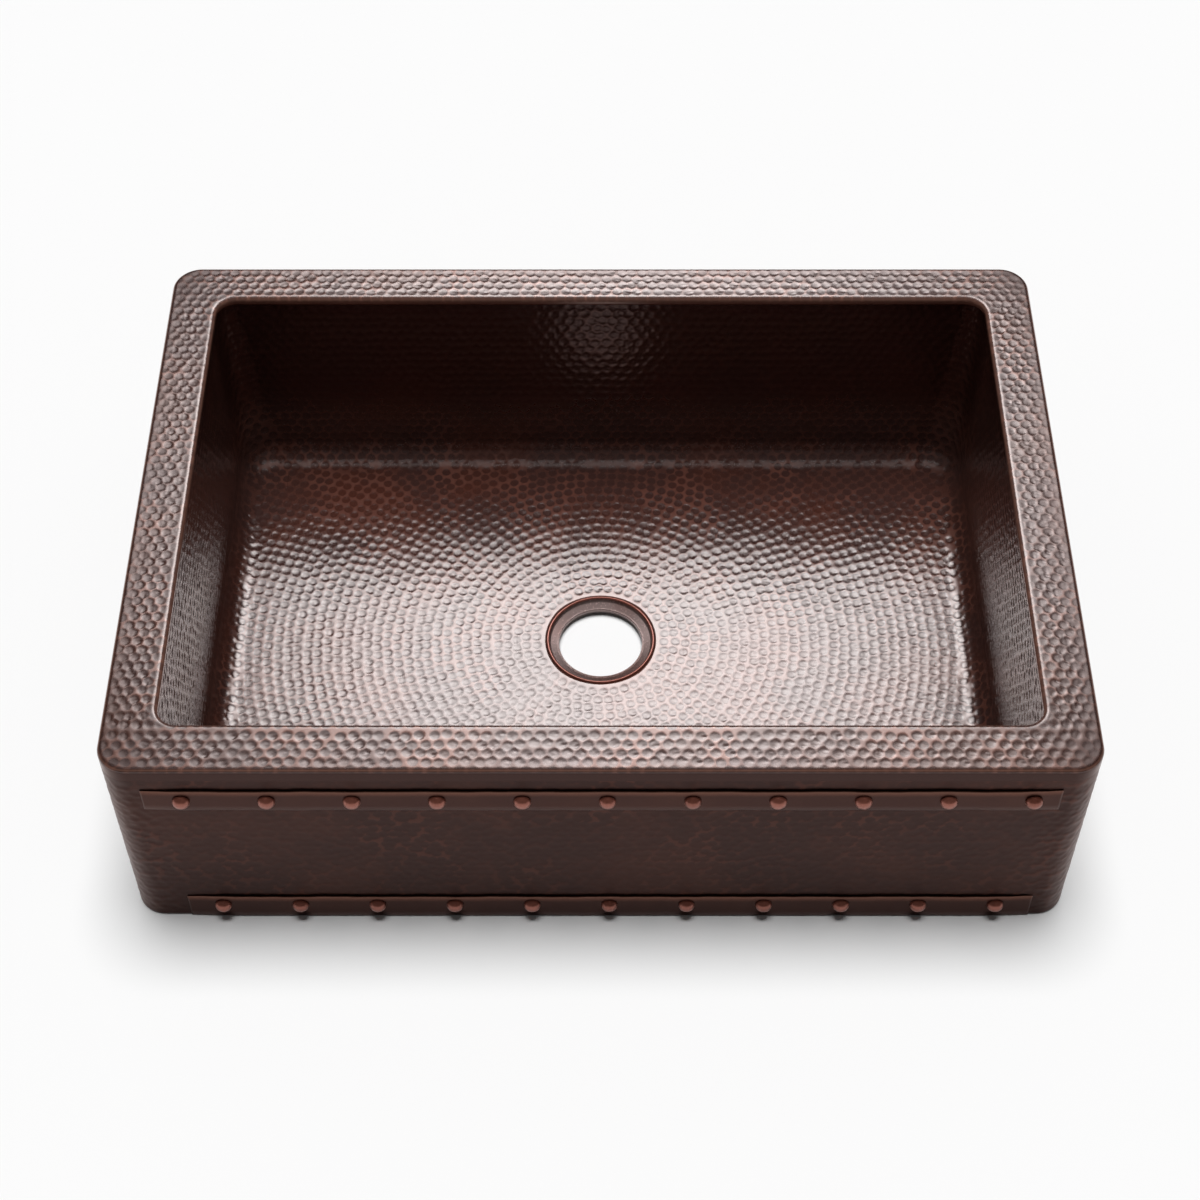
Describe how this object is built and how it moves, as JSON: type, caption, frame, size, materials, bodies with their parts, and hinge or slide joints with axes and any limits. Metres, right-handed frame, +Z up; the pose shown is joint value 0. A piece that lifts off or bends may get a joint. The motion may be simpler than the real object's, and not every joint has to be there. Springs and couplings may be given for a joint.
{
  "type": "farmhouse apron front sink",
  "caption": "Farmhouse kitchen sink of hammered, darkened copper: one deep bowl with a drain hole, a flat rim and an apron front with two riveted straps.",
  "frame": {"origin": "middle of the bounding box at the foot of the apron", "axes": "+X to the right along the apron, the apron faces -Y, +Z up from the foot to the rim"},
  "size_m": [0.9144, 0.6568, 0.254],
  "materials": {
    "rim_copper": "hammered, dark patina rubbed back on the ridges",
    "bowl_copper": "hammered, dark patina",
    "drain_copper": "turned, dark patina, edge rubbed bright",
    "apron_copper": "lightly hammered, dark patina",
    "strap_copper": "planished bar, dark patina",
    "rivet_copper": "domed, rubbed reddish"
  },
  "bodies": {
    "root": {"rim_front": "rim_copper", "rim_back": "rim_copper", "rim_left": "rim_copper", "rim_right": "rim_copper", "bowl_wall_front": "bowl_copper", "bowl_wall_back": "bowl_copper", "bowl_wall_left": "bowl_copper", "bowl_wall_right": "bowl_copper", "bowl_corner_front_left": "bowl_copper", "bowl_corner_front_right": "bowl_copper", "bowl_corner_back_left": "bowl_copper", "bowl_corner_back_right": "bowl_copper", "bowl_floor": "bowl_copper", "drain_seat": "drain_copper", "apron_front": "apron_copper", "skirt_left": "apron_copper", "skirt_right": "apron_copper", "strap_upper": "strap_copper", "strap_lower": "strap_copper", "rivets_upper": "rivet_copper", "rivets_lower": "rivet_copper"}
  },
  "joints": []
}
